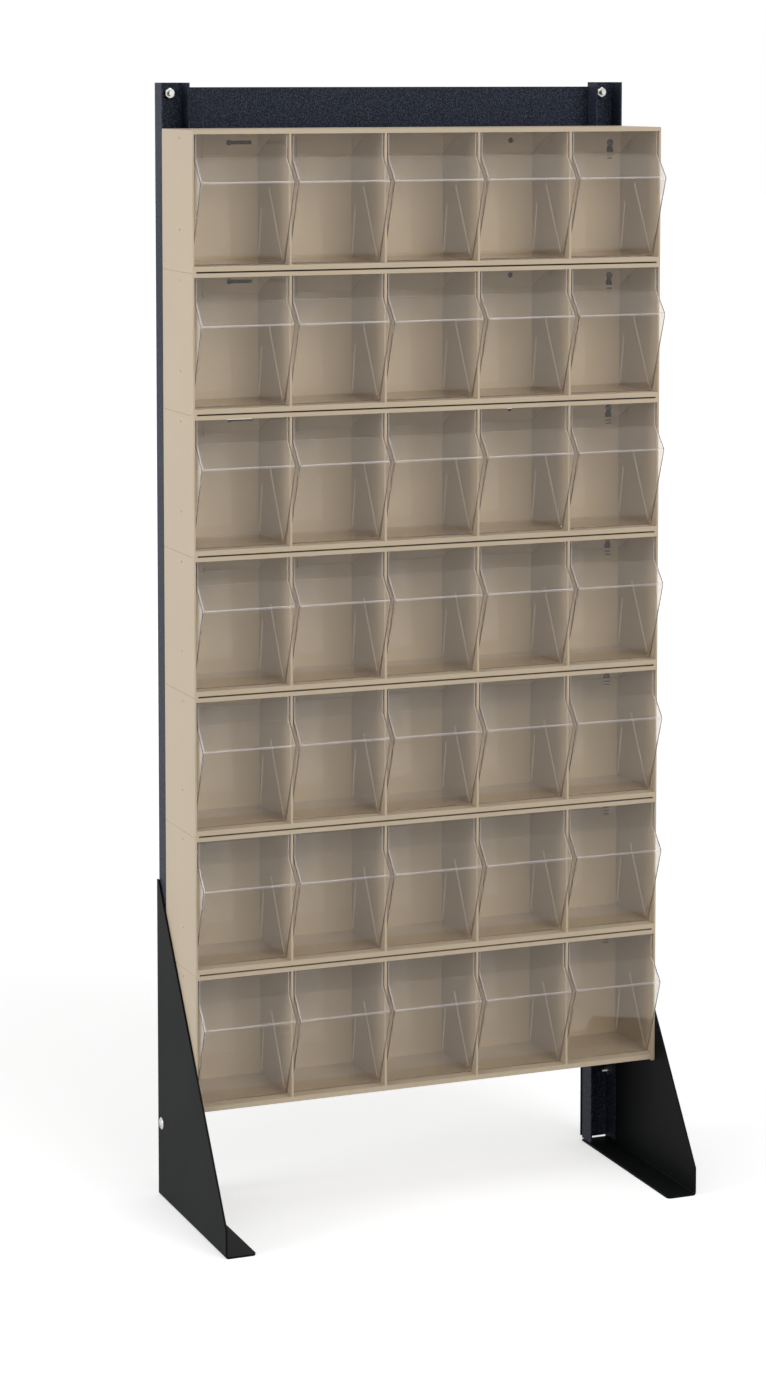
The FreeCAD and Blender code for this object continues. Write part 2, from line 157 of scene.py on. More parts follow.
def ramp_colour(tree, source, stops):
    """Turns a mask into colours, by stops of place and colour."""
    made = put(tree, "ShaderNodeValToRGB", {"Fac": source})
    while len(made.color_ramp.elements) < len(stops):
        made.color_ramp.elements.new(0.5)
    for element, (place, colour) in zip(made.color_ramp.elements, stops):
        element.position = place
        element.color = (*colour, 1.0)
    return made.outputs["Color"]


def cabinet_plastic():
    """Ivory beige polystyrene with a fine moulded grain and a slight clouding."""
    material, tree = start_material("ivory_plastic")
    surface = put(tree, "ShaderNodeGroup", node_tree=moulded_group)
    surface.inputs["Cloud Size"].default_value = 9.0
    surface.inputs["Grain Size"].default_value = 900.0
    colour = ramp_colour(tree, surface.outputs["Cloud"], [
        (0.25, (0.556, 0.456, 0.33)),
        (0.75, (0.604, 0.496, 0.36)),
    ])
    bump = put(tree, "ShaderNodeBump", {
        "Height": surface.outputs["Grain"], "Strength": 0.1, "Distance": 0.0002,
    })
    shader = put(tree, "ShaderNodeBsdfPrincipled", {
        "Base Color": colour,
        "Roughness": ramp_value(tree, surface.outputs["Cloud"], 0.4, 0.52),
        "Normal": bump.outputs["Normal"],
        "IOR": 1.55,
        "Specular IOR Level": 0.3,
    })
    end_material(tree, shader.outputs[0])
    return material


def smooth_by_angle():
    """Geometry group: faces shade smooth, but for the edges that are sharper than an angle."""
    tree = bpy.data.node_groups.new("Smooth by angle", "GeometryNodeTree")
    sockets(tree, "INPUT", Mesh="Geometry", Angle="Float")
    sockets(tree, "OUTPUT", Mesh="Geometry")
    given = tree.nodes.new("NodeGroupInput")
    angle = put(tree, "GeometryNodeInputMeshEdgeAngle").outputs["Unsigned Angle"]
    gentle = put(tree, "FunctionNodeCompare", {
        0: angle, 1: given.outputs["Angle"],
    }, operation="LESS_THAN")
    faces = put(tree, "GeometryNodeSetShadeSmooth", {
        "Geometry": given.outputs["Mesh"],
    }, domain="FACE")
    edges = put(tree, "GeometryNodeSetShadeSmooth", {
        "Geometry": faces.outputs[0], "Shade Smooth": gentle.outputs[0],
    }, domain="EDGE")
    put(tree, "NodeGroupOutput", {"Mesh": edges.outputs[0]})
    return tree


smooth_group = smooth_by_angle()
smooth_limit = math.radians(35)
flat_limit = math.radians(0.5)
weld_reach = 0.00001
ease_segments = 2
cabinet_round = 0.0003


def set_input(modifier, name, value):
    """Sets a geometry modifier's named input."""
    for item in modifier.node_group.interface.items_tree:
        if item.name == name and item.in_out == "INPUT":
            modifier[item.identifier] = value


def shade(piece):
    """Smooth shading, with flat faces kept flat beside rounded ones."""
    smooth = piece.modifiers.new("Smooth by angle", "NODES")
    smooth.node_group = smooth_group
    set_input(smooth, "Angle", smooth_limit)
    weighted = piece.modifiers.new("Flat faces", "WEIGHTED_NORMAL")
    weighted.keep_sharp = True


def ease_edges(piece, radius, limit):
    """Rounds the edges that are sharper than an angle, and shades the piece."""
    bevel = piece.modifiers.new("Eased edges", "BEVEL")
    bevel.width = radius
    bevel.segments = ease_segments
    bevel.limit_method = "ANGLE"
    bevel.angle_limit = limit
    shade(piece)


def dress(node, material, radius):
    """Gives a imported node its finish, whole faces and eased edges, with live modifiers only."""
    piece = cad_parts[node]
    piece.data.materials.clear()
    piece.data.materials.append(material)
    weld = piece.modifiers.new("Join", "WELD")
    weld.merge_threshold = weld_reach
    flats = piece.modifiers.new("Whole faces", "DECIMATE")
    flats.decimate_type = "DISSOLVE"
    flats.angle_limit = flat_limit
    ease_edges(piece, radius, smooth_limit)


levels = range(1, 1 + sum(node.startswith("cabinet_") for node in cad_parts))
bays = range(1, 1 + sum(node.startswith("cup_1_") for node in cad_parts))
ivory = cabinet_plastic()
for level in levels:
    dress("cabinet_" + str(level), ivory, cabinet_round)


# Tip out cups: clear polished polystyrene, moulded in one piece with two hinge pins.
# The front leans out to a nose, and raised ribs stand on the inside of each side wall.
# Each cup snaps into round sockets in the cabinet and leans back on its rest pad.
cup_wall = 0.0017
pin_length = 0.0015
pin_radius = 0.0024
heel_radius = 0.0027
hinge_behind_front = 0.016
nose_reach = 0.0234
nose_above_hinge = 0.0944
bend_above_hinge = 0.1214
front_round = 0.003
bend_round = 0.0006
back_round = 0.0015
rim_round = 0.0004
round_segments = 4
pin_segments = 32
arc_steps = 10
bend_reach = 0.002
back_reach = 0.0001
rib_height = 0.0006
# Corners of a rib's section, by share of its width and height above the wall
rib_section = (
    (-0.5, -cup_wall / 2), (-0.5, 0.0), (-0.25, rib_height),
    (0.25, rib_height), (0.5, 0.0), (0.5, -cup_wall / 2),
)
# Each rib's two ends, behind and above the hinge line, and its width at each
front_rib = ((0.048, 0.085), (0.004, 0.004), 0.0044, 0.0026)
back_rib = ((0.0745, 0.061), (0.0845, 0.003), 0.003, 0.0024)

front_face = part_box("cabinet_1")[0].y
cup_low, cup_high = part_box("cup_1_1")
cup_half = (cup_high.x - cup_low.x) / 2 - pin_length
cup_back = cup_high.y - front_face - hinge_behind_front
cup_top = cup_high.z - cup_low.z - heel_radius
back_top = 0.1227
sweep_radius = 0.14946


def arc(radius, start, end):
    """Places on an arc about the hinge line, as distances behind and above it."""
    turns = [start + (end - start) * i / arc_steps for i in range(arc_steps + 1)]
    return [(radius * math.cos(turn), radius * math.sin(turn)) for turn in turns]


def cup_outside():
    """The cup's outline from the side: heel, nose, bend, rim, swept top, back and floor."""
    nose = (-hinge_behind_front - nose_reach, nose_above_hinge)
    lean = math.atan2(nose[1], nose[0]) + math.acos(heel_radius / math.hypot(*nose))
    inner_back = cup_back - cup_wall
    sweep = arc(
        sweep_radius, math.acos(inner_back / sweep_radius), math.asin(cup_top / sweep_radius),
    )
    return (
        [nose, (-hinge_behind_front, bend_above_hinge), (-hinge_behind_front, cup_top)]
        + sweep[::-1]
        + [(inner_back, back_top), (cup_back, back_top), (cup_back, -heel_radius)]
        + arc(heel_radius, 1.5 * math.pi, lean)
    )


def cup_inside():
    """The outline of the cup's hollow, one wall in, and open well above the rim."""
    nose = Vector((-hinge_behind_front - nose_reach, nose_above_hinge))
    lean = math.atan2(nose.y, nose.x) + math.acos(heel_radius / nose.length)
    front_out = Vector((math.cos(lean), math.sin(lean)))
    along_front = Vector((-front_out.y, front_out.x))
    bend = Vector((-hinge_behind_front, bend_above_hinge))
    slope = (bend - nose).normalized()
    slope_in = Vector((slope.y, -slope.x))
    floor = cup_wall - heel_radius

    def crossing(start, run, other, other_run):
        steps = Matrix((run, -other_run)).transposed().inverted() @ (other - start)
        return start + run * steps[0]

    front = front_out * (heel_radius - cup_wall)
    upper = nose + slope_in * cup_wall
    inner_front = cup_wall - hinge_behind_front
    upright = Vector((0.0, 1.0))
    level = Vector((1.0, 0.0))
    open_top = cup_top + cup_wall
    return [
        crossing(front, along_front, upper, slope),
        crossing(upper, slope, Vector((inner_front, 0.0)), upright),
        Vector((inner_front, open_top)),
        Vector((cup_back - cup_wall, open_top)),
        Vector((cup_back - cup_wall, floor)),
        crossing(front, along_front, Vector((0.0, floor)), level),
    ]


def close_rings(work, first, last):
    """Faces between two rings of corners and across each ring, all turned outwards."""
    for i in range(len(first)):
        j = (i + 1) % len(first)
        work.faces.new((first[i], first[j], last[j], last[i]))
    work.faces.new(first)
    work.faces.new(last)
    bmesh.ops.recalc_face_normals(work, faces=work.faces)


def take_shape(work, name, finishes=()):
    """Ends the work on a shape, and puts it in the scene with its finishes."""
    mesh = bpy.data.meshes.new(name)
    for finish in finishes:
        mesh.materials.append(finish)
    work.to_mesh(mesh)
    work.free()
    return add_object(name, mesh)


def prism(name, outline, half, rounds):
    """The outline run across the cup, with rounds on chosen edges, by radius and finish."""
    work = bmesh.new()
    rings = [[work.verts.new((x, y, z)) for y, z in outline] for x in (-half, half)]
    close_rings(work, *rings)
    for radius, chosen, finish in rounds:
        edges = [edge for edge in work.edges if chosen(edge.verts[0].co, edge.verts[1].co)]
        made = bmesh.ops.bevel(
            work, geom=edges, offset=radius, segments=round_segments, profile=0.5, affect="EDGES",
        )
        for face in made["faces"]:
            face.material_index = cup_finishes.index(finish)
    return take_shape(work, name, cup_finishes)


def on_bend(a, b):
    """The edge across the front where the slope meets the upright rim."""
    return (
        a.x != b.x
        and abs(a.y + hinge_behind_front) < bend_reach
        and abs(a.z - bend_above_hinge) < bend_reach
    )


def on_front(a, b):
    """The nose's edge across the front, and the front's corners above the heel."""
    if a.x != b.x:
        return a.y < -hinge_behind_front - nose_reach / 2
    above_heel = max(a.y, b.y) < -heel_radius / 2 and max(a.z, b.z) > nose_above_hinge / 2
    return above_heel and a.z != b.z


def on_back(a, b):
    """The lower edge across the back, and the back's corners."""
    if min(a.y, b.y) < cup_back - back_reach:
        return False
    return a.z < 0 if a.x != b.x else True


def rib(side, start, end, wide, narrow):
    """A tapered rib on the inside of a side wall, from a wide top to a narrow foot."""
    inside = side * (cup_half - cup_wall)
    start, end = Vector(start), Vector(end)
    across = (end - start).normalized()
    across = Vector((-across.y, across.x))
    work = bmesh.new()
    rings = []
    for place, width in ((start, wide), (end, narrow)):
        ring = []
        for share, depth in rib_section:
            at = place + across * (width * share)
            ring.append(work.verts.new((inside - side * depth, at.x, at.y)))
        rings.append(ring)
    close_rings(work, *rings)
    # The ribs take the rib finish, whose pale haze is a painted highlight.
    for face in work.faces:
        face.material_index = cup_finishes.index(painted_rib_highlight)
    return take_shape(work, "rib", cup_finishes)


def pin(side):
    """A hinge pin that stands out of a side wall, and reaches halfway into it."""
    middle = side * (cup_half + (pin_length - cup_wall / 2) / 2)
    work = bmesh.new()
    bmesh.ops.create_cone(
        work, cap_ends=True, segments=pin_segments, radius1=pin_radius, radius2=pin_radius,
        depth=pin_length + cup_wall / 2,
        matrix=Matrix.Translation((middle, 0, 0)) @ Matrix.Rotation(math.pi / 2, 4, "Y"),
    )
    return take_shape(work, "pin")


def baked(piece, name):
    """The piece as its modifiers leave it, as a plain mesh."""
    seen = piece.evaluated_get(bpy.context.evaluated_depsgraph_get())
    mesh = bpy.data.meshes.new_from_object(seen)
    mesh.name = name
    return mesh


def make_cup_mesh():
    """One cup about its hinge line: the outside less the hollow, with ribs and pins."""
    body = prism("cup", cup_outside(), cup_half, [
        (bend_round, on_bend, clear), (front_round, on_front, clear), (back_round, on_back, clear),
    ])
    # The hollow's nose edge and front corners take the edge finish, whose pale haze is a painted
    # highlight.
    hollow = prism("hollow", cup_inside(), cup_half - cup_wall, [
        (bend_round, on_bend, clear), (front_round - cup_wall, on_front, painted_edge_highlight),
    ])
    others = []
    for side in sides:
        others += [pin(side), rib(side, *front_rib), rib(side, *back_rib)]
    for tool, operation in [(hollow, "DIFFERENCE")] + [(other, "UNION") for other in others]:
        cut = body.modifiers.new(operation, "BOOLEAN")
        cut.operation = operation
        cut.object = tool
        cut.solver = "EXACT"
    ease_edges(body, rim_round, smooth_limit)
    mesh = baked(body, "cup")
    for piece in [body, hollow] + others:
        bpy.data.objects.remove(piece)
    return mesh


def calc(tree, operation, *values):
    """One sum on values or links."""
    return put(tree, "ShaderNodeMath", enumerate(values), operation=operation).outputs[0]


def clear_plastic(name, haze_and_highlight_colour, haze_and_highlight_in_front, haze_and_highlight_at_edge):
    """Clear polystyrene with a faint smoky tint, soft flow lines, and a haze at flat angles. On the
    edge and rib finishes the haze is stronger and paler, a painted highlight. Where a ray has
    passed many walls, the plastic shows a painted lavender glow.
    """
    material, tree = start_material(name)
    surface = put(tree, "ShaderNodeGroup", node_tree=moulded_group)
    surface.inputs["Cloud Size"].default_value = 22.0
    surface.inputs["Grain Size"].default_value = 90.0
    tint = ramp_colour(tree, surface.outputs["Cloud"], [
        (0.2, (0.968, 0.95, 0.915)),
        (0.8, (0.983, 0.968, 0.938)),
    ])
    bump = put(tree, "ShaderNodeBump", {
        "Height": surface.outputs["Grain"], "Strength": 0.02, "Distance": 0.0004,
    })
    glass = put(tree, "ShaderNodeBsdfPrincipled", {
        "Base Color": tint,
        "Roughness": ramp_value(tree, surface.outputs["Cloud"], 0.0, 0.02),
        "Transmission Weight": 1.0,
        "IOR": 1.36,
        "Normal": bump.outputs["Normal"],
    })
    haze = put(tree, "ShaderNodeBsdfDiffuse", {
        "Color": haze_and_highlight_colour, "Normal": bump.outputs["Normal"],
    })
    grazing = put(tree, "ShaderNodeLayerWeight", {"Blend": 0.5}).outputs["Facing"]
    haze_and_highlight_share = calc(tree, "ADD", calc(tree, "MULTIPLY", grazing, haze_and_highlight_at_edge), haze_and_highlight_in_front)
    glass_haze_and_highlight = put(tree, "ShaderNodeMixShader", {0: haze_and_highlight_share, 1: glass.outputs[0], 2: haze.outputs[0]})
    see_through = put(tree, "ShaderNodeBsdfTransparent", {"Color": (0.96, 0.953, 0.938, 1.0)})
    # Painted glow: past many walls a ray finds a faint lavender glow, standing in for light caught
    # in the plastic.
    painted_edge_glow = put(tree, "ShaderNodeEmission", {"Color": (0.24, 0.2, 0.24, 1.0), "Strength": 1.0})
    path = put(tree, "ShaderNodeLightPath").outputs
    painted_glow_mask = calc(tree, "GREATER_THAN", path["Ray Depth"], painted_glow_depth)
    seen = put(tree, "ShaderNodeMixShader", {
        0: painted_glow_mask, 1: glass_haze_and_highlight.outputs[0], 2: painted_edge_glow.outputs[0],
    })
    mixed = put(tree, "ShaderNodeMixShader", {
        0: path["Is Shadow Ray"], 1: seen.outputs[0], 2: see_through.outputs[0],
    })
    end_material(tree, mixed.outputs[0])
    return material


# Ray depth past which the clear plastic shows its painted glow.
painted_glow_depth = 11.5
sides = (-1, 1)
clear = clear_plastic("clear_plastic", (0.6, 0.52, 0.44, 1.0), 0.015, 0.13)
# Edge finish: a strong pale lavender haze, a painted highlight on the nose and the front corners.
painted_edge_highlight = clear_plastic("clear_plastic_painted_edge_highlight", (0.86, 0.82, 0.88, 1.0), 0.26, 0.2)
# Rib finish: a strong warm pale haze, a painted highlight on the ribs.
painted_rib_highlight = clear_plastic("clear_plastic_painted_rib_highlight", (0.95, 0.87, 0.76, 1.0), 0.55, 0.3)
cup_finishes = (clear, painted_edge_highlight, painted_rib_highlight)
cup_mesh = make_cup_mesh()
for level in levels:
    for bay in bays:
        node = "cup_" + str(level) + "_" + str(bay)
        low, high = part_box(node)
        mesh = cup_mesh.copy()
        hinge = Vector(((low.x + high.x) / 2, front_face + hinge_behind_front, low.z + heel_radius))
        mesh.transform(Matrix.Translation(hinge))
        cup = add_object("clear_" + node, mesh)
        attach(cup, node)
        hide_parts(node)


# Posts and cross rails: bent and flat steel under a blue black powder coat.
# The coat is satin, with a fine pebbled skin and paler flecks in it.
# The posts stand on the feet, and the rails are screwed behind them.
def speckled_paint(name, ground, fleck, fleck_share, pebble_size, roughness, shine):
    """Powder coat: a dark ground with fine paler flecks, over a pebbled skin."""
    material, tree = start_material(name)
    place = put(tree, "ShaderNodeTexCoord").outputs["Object"]
    flecks = put(tree, "ShaderNodeTexNoise", {
        "Vector": place, "Scale": pebble_size * 1.7, "Detail": 2.0, "Roughness": 0.7,
    })
    pebbles = put(tree, "ShaderNodeTexNoise", {
        "Vector": place, "Scale": pebble_size, "Detail": 1.0,
    })
    worn = put(tree, "ShaderNodeTexNoise", {"Vector": place, "Scale": 6.0, "Detail": 4.0})
    colour = ramp_colour(tree, flecks.outputs["Fac"], [
        (1 - fleck_share - fleck_blur, ground),
        (1 - fleck_share + fleck_blur, fleck),
    ])
    bump = put(tree, "ShaderNodeBump", {
        "Height": pebbles.outputs["Fac"], "Strength": 0.35, "Distance": 0.0004,
    })
    shader = put(tree, "ShaderNodeBsdfPrincipled", {
        "Base Color": colour,
        "Roughness": ramp_value(tree, worn.outputs["Fac"], roughness - 0.06, roughness + 0.08),
        "Normal": bump.outputs["Normal"],
        "IOR": 1.5,
        "Specular IOR Level": shine,
    })
    end_material(tree, shader.outputs[0])
    return material


fleck_blur = 0.08
steel_round = 0.0004
navy = speckled_paint(
    "navy_powder_coat", ground=(0.0075, 0.0096, 0.016), fleck=(0.06, 0.071, 0.11),
    fleck_share=0.45, pebble_size=420.0, roughness=0.5, shine=0.1,
)
for node in ("post_left", "post_right", "top_rail", "bottom_rail"):
    dress(node, navy, steel_round)


# Feet: each is one bent steel sheet, a sloping side plate with two flanges.
# They are powder coated satin black, smoother than the posts.
# A screw through the side plate and two through the back flange hold each post.
black = speckled_paint(
    "black_powder_coat", ground=(0.005, 0.006, 0.0058), fleck=(0.011, 0.012, 0.0115),
    fleck_share=0.45, pebble_size=700.0, roughness=0.5, shine=0.04,
)
for node in ("leg_left", "leg_right"):
    dress(node, black, steel_round)


# Screws and nuts: zinc plated steel, turned and rolled.
# Slotted truss head screws hold the frame, and round heads coloured near black, as painted shade in
# the keyholes, carry the cabinets.
# Every nut is a plain hexagon with its outer corners taken off.
def zinc_plate(name, bluish, yellowish):
    """Zinc plate, a little blue and yellow by turns, with fine tool marks."""
    material, tree = start_material(name)
    place = put(tree, "ShaderNodeTexCoord").outputs["Object"]
    clouds = put(tree, "ShaderNodeTexNoise", {"Vector": place, "Scale": 220.0, "Detail": 3.0})
    marks = put(tree, "ShaderNodeTexNoise", {"Vector": place, "Scale": 2600.0, "Detail": 2.0})
    colour = ramp_colour(tree, clouds.outputs["Fac"], [
        (0.3, bluish),
        (0.7, yellowish),
    ])
    bump = put(tree, "ShaderNodeBump", {
        "Height": marks.outputs["Fac"], "Strength": 0.15, "Distance": 0.0001,
    })
    shader = put(tree, "ShaderNodeBsdfPrincipled", {
        "Base Color": colour,
        "Metallic": 1.0,
        "Roughness": ramp_value(tree, clouds.outputs["Fac"], 0.22, 0.4),
        "Normal": bump.outputs["Normal"],
    })
    end_material(tree, shader.outputs[0])
    return material


def merge(tree, operation, first, second):
    """Joins or cuts two meshes with an exact boolean."""
    made = put(tree, "GeometryNodeMeshBoolean", operation=operation, solver="EXACT")
    tree.links.new(first, made.inputs["Mesh 1" if operation == "DIFFERENCE" else "Mesh 2"])
    tree.links.new(second, made.inputs["Mesh 2"])
    return made.outputs["Mesh"]


def seat_copies(tree, given, mesh):
    """Sets a copy on each seat, turned to face the way that its seat faces."""
    facing = put(tree, "GeometryNodeInputNamedAttribute", {
        "Name": "facing",
    }, data_type="FLOAT_VECTOR")
    turn = put(tree, "FunctionNodeAlignRotationToVector", {
        "Vector": facing.outputs["Attribute"],
    }, axis="Z")
    copies = put(tree, "GeometryNodeInstanceOnPoints", {
        "Points": given.outputs["Seats"], "Instance": mesh, "Rotation": turn.outputs[0],
    })
    real = put(tree, "GeometryNodeRealizeInstances", {"Geometry": copies.outputs[0]})
    finished = put(tree, "GeometryNodeSetMaterial", {
        "Geometry": real.outputs[0], "Material": given.outputs["Finish"],
    })
    put(tree, "NodeGroupOutput", {"Mesh": finished.outputs[0]})


def slotted_screw():
    """Geometry group: a threaded shank below its seat, and a domed head with a slot above."""
    tree = bpy.data.node_groups.new("Slotted screw", "GeometryNodeTree")
    sockets(
        tree, "INPUT", Seats="Geometry", Shank_Radius="Float", Shank_Length="Float",
        Thread_Pitch="Float", Thread_Depth="Float", Head_Radius="Float", Head_Height="Float",
        Slot_Width="Float", Slot_Depth="Float", Slot_Turn="Float", Finish="Material",
    )
    sockets(tree, "OUTPUT", Mesh="Geometry")
    given = tree.nodes.new("NodeGroupInput")
    size = given.outputs

    turns = calc(tree, "DIVIDE", size["Shank Length"], size["Thread Pitch"])
    rod = put(tree, "GeometryNodeMeshCylinder", {
        "Vertices": shank_segments, "Side Segments": calc(tree, "MULTIPLY", turns, rings_per_turn),
        "Radius": size["Shank Radius"], "Depth": size["Shank Length"],
    })
    place = put(tree, "GeometryNodeInputPosition").outputs[0]
    part = put(tree, "ShaderNodeSeparateXYZ", {0: place}).outputs
    around = calc(tree, "DIVIDE", calc(tree, "ARCTAN2", part["Y"], part["X"]), math.tau)
    along = calc(tree, "ADD", calc(tree, "DIVIDE", part["Z"], size["Thread Pitch"]), around)
    depth = calc(tree, "MULTIPLY", calc(tree, "PINGPONG", along, 0.5), size["Thread Depth"])
    narrower = calc(tree, "DIVIDE", calc(tree, "MULTIPLY", depth, -2.0), size["Shank Radius"])
    inwards = put(tree, "ShaderNodeCombineXYZ", {
        "X": calc(tree, "MULTIPLY", part["X"], narrower),
        "Y": calc(tree, "MULTIPLY", part["Y"], narrower),
    })
    thread = put(tree, "GeometryNodeSetPosition", {
        "Geometry": rod.outputs["Mesh"], "Offset": inwards.outputs[0],
    })
    lower = put(tree, "ShaderNodeCombineXYZ", {
        "Z": calc(tree, "MULTIPLY", size["Shank Length"], -0.5),
    })
    shank = put(tree, "GeometryNodeTransform", {
        "Geometry": thread.outputs[0], "Translation": lower.outputs[0],
    })

    disc = put(tree, "GeometryNodeMeshCylinder", {
        "Vertices": head_segments, "Fill Segments": head_rings,
        "Radius": size["Head Radius"], "Depth": disc_depth,
    })
    above = calc(tree, "GREATER_THAN", part["Z"], 0.0)
    away_squared = calc(
        tree, "ADD", calc(tree, "POWER", part["X"], 2.0), calc(tree, "POWER", part["Y"], 2.0),
    )
    share = calc(tree, "DIVIDE", away_squared, calc(tree, "POWER", size["Head Radius"], 2.0))
    rise = calc(
        tree, "MULTIPLY", calc(tree, "SUBTRACT", 1.0, calc(tree, "MULTIPLY", share, dome_fall)),
        calc(tree, "MULTIPLY", size["Head Height"], above),
    )
    sink = calc(tree, "MULTIPLY", calc(tree, "SUBTRACT", 1.0, above), -seat_sink)
    dome_place = put(tree, "ShaderNodeCombineXYZ", {
        "X": part["X"], "Y": part["Y"], "Z": calc(tree, "ADD", rise, sink),
    })
    dome = put(tree, "GeometryNodeSetPosition", {
        "Geometry": disc.outputs["Mesh"], "Position": dome_place.outputs[0],
    })
    slot_size = put(tree, "ShaderNodeCombineXYZ", {
        "X": calc(tree, "MULTIPLY", size["Head Radius"], 2.2),
        "Y": size["Slot Width"],
        "Z": calc(tree, "MULTIPLY", size["Slot Depth"], 2.0),
    })
    cube = put(tree, "GeometryNodeMeshCube", {"Size": slot_size.outputs[0]})
    slot_place = put(tree, "ShaderNodeCombineXYZ", {"Z": size["Head Height"]})
    slot_turn = put(tree, "ShaderNodeCombineXYZ", {"Z": size["Slot Turn"]})
    slot = put(tree, "GeometryNodeTransform", {
        "Geometry": cube.outputs["Mesh"],
        "Translation": slot_place.outputs[0],
        "Rotation": slot_turn.outputs[0],
    })
    head = merge(tree, "DIFFERENCE", dome.outputs[0], slot.outputs[0])
    seat_copies(tree, given, merge(tree, "UNION", head, shank.outputs[0]))
    return tree


def hexagon_nut():
    """Geometry group: a hexagon on its seat with its outer corners taken off, and a bore."""
    tree = bpy.data.node_groups.new("Hexagon nut", "GeometryNodeTree")
    sockets(
        tree, "INPUT", Seats="Geometry", Across_Flats="Float", Nut_Height="Float",
        Bore_Radius="Float", Finish="Material",
    )
    sockets(tree, "OUTPUT", Mesh="Geometry")
    given = tree.nodes.new("NodeGroupInput")
    size = given.outputs
    upright = put(tree, "GeometryNodeMeshCylinder", {
        "Vertices": 6, "Radius": calc(tree, "DIVIDE", size["Across Flats"], math.sqrt(3)),
        "Depth": size["Nut Height"],
    })
    half_up = put(tree, "ShaderNodeCombineXYZ", {
        "Z": calc(tree, "MULTIPLY", size["Nut Height"], 0.5),
    })
    hexagon = put(tree, "GeometryNodeTransform", {
        "Geometry": upright.outputs["Mesh"],
        "Translation": half_up.outputs[0],
        "Rotation": (0, 0, math.pi / 6),
    })
    outer_circle = calc(tree, "MULTIPLY", size["Across Flats"], outer_circle_share)
    cone_spread = calc(tree, "MULTIPLY", size["Nut Height"], math.sqrt(3))
    cone = put(tree, "GeometryNodeMeshCone", {
        "Vertices": head_segments,
        "Radius Top": outer_circle,
        "Radius Bottom": calc(tree, "ADD", outer_circle, cone_spread),
        "Depth": size["Nut Height"],
    })
    body = merge(tree, "INTERSECT", hexagon.outputs[0], cone.outputs["Mesh"])
    bore = put(tree, "GeometryNodeMeshCylinder", {
        "Vertices": bore_segments, "Radius": size["Bore Radius"],
        "Depth": calc(tree, "MULTIPLY", size["Nut Height"], 3.0),
    })
    seat_copies(tree, given, merge(tree, "DIFFERENCE", body, bore.outputs["Mesh"]))
    return tree


def fasten(node, tree, finish, seats, **sizes):
    """Sets a fastener on every seat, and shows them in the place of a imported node."""
    points = bpy.data.meshes.new("seats")
    points.from_pydata([place for place, way in seats], [], [])
    facing = points.attributes.new("facing", "FLOAT_VECTOR", "POINT")
    for item, (place, way) in zip(facing.data, seats):
        item.vector = way
    carrier = add_object("seats", points)
    grow = carrier.modifiers.new("Fasteners", "NODES")
    grow.node_group = tree
    for name, value in sizes.items():
        set_input(grow, name.replace("_", " "), value)
    set_input(grow, "Finish", finish)
    ease_edges(carrier, fastener_round, fastener_edge)
    mesh = baked(carrier, "zinc_" + node)
    bpy.data.objects.remove(carrier)
    piece = add_object("zinc_" + node, mesh)
    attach(piece, "stand")
    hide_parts(node)


zinc = zinc_plate("zinc_plate", (0.5, 0.51, 0.52), (0.62, 0.6, 0.54))
# Near black plate for the hanger screws, painted shade that keeps the keyholes dark.
painted_shade_zinc = zinc_plate("painted_shade_zinc_plate", (0.03, 0.032, 0.036), (0.05, 0.048, 0.044))
shank_segments = 16
rings_per_turn = 4.0
head_segments = 40
head_rings = 6
disc_depth = 0.001
dome_fall = 0.86
seat_sink = 0.00002
outer_circle_share = 0.485
bore_segments = 32
fastener_round = 0.00012
fastener_edge = math.radians(55)
screw_tree = slotted_screw()
nut_tree = hexagon_nut()
to_front = (0, -1, 0)
to_back = (0, 1, 0)
post_x = 0.2825
web_front = 0.1173
web_back = 0.1193
# Where the screw heads bear: depth and height on the rails, and all three on the feet
rail_seats = [(0.1223, 1.3355), (0.1248, 0.2196), (0.1248, 0.1575)]
foot_seat = (0.3025, 0.1053, 0.0925)
flange_inside = 0.298
hanger_front = 0.0888
hanger_backs = [0.1218] + [web_back] * (len(levels) - 2) + [0.1223]
hanger_first = 0.2828
hanger_step = 0.1651
slot_turn = math.radians(40)
frame_screw = dict(
    Shank_Radius=0.003175, Shank_Length=0.0159, Thread_Pitch=0.00127, Thread_Depth=0.0003,
    Head_Radius=0.00725, Head_Height=0.0034, Slot_Width=0.0016, Slot_Depth=0.0014,
    Slot_Turn=slot_turn,
)
hanger_screw = dict(
    Shank_Radius=0.0024, Shank_Length=0.038, Thread_Pitch=0.00106, Thread_Depth=0.00025,
    Head_Radius=0.0043, Head_Height=0.00272, Slot_Width=0.0012, Slot_Depth=0.0012,
    Slot_Turn=slot_turn,
)
frame_nut = dict(Across_Flats=0.0111, Nut_Height=0.0056, Bore_Radius=0.00322)
hanger_nut = dict(Across_Flats=0.0095, Nut_Height=0.0032, Bore_Radius=0.00245)
fasten("rail_screws", screw_tree, zinc, [
    ((side * post_x, y, z), to_back) for side in sides for y, z in rail_seats
], **frame_screw)
fasten("rail_nuts", nut_tree, zinc, [
    ((side * post_x, web_front, z), to_front) for side in sides for y, z in rail_seats
], **frame_nut)
fasten("leg_screws", screw_tree, zinc, [
    ((side * foot_seat[0], foot_seat[1], foot_seat[2]), (side, 0, 0)) for side in sides
], **frame_screw)
fasten("leg_nuts", nut_tree, zinc, [
    ((side * flange_inside, foot_seat[1], foot_seat[2]), (-side, 0, 0)) for side in sides
], **frame_nut)
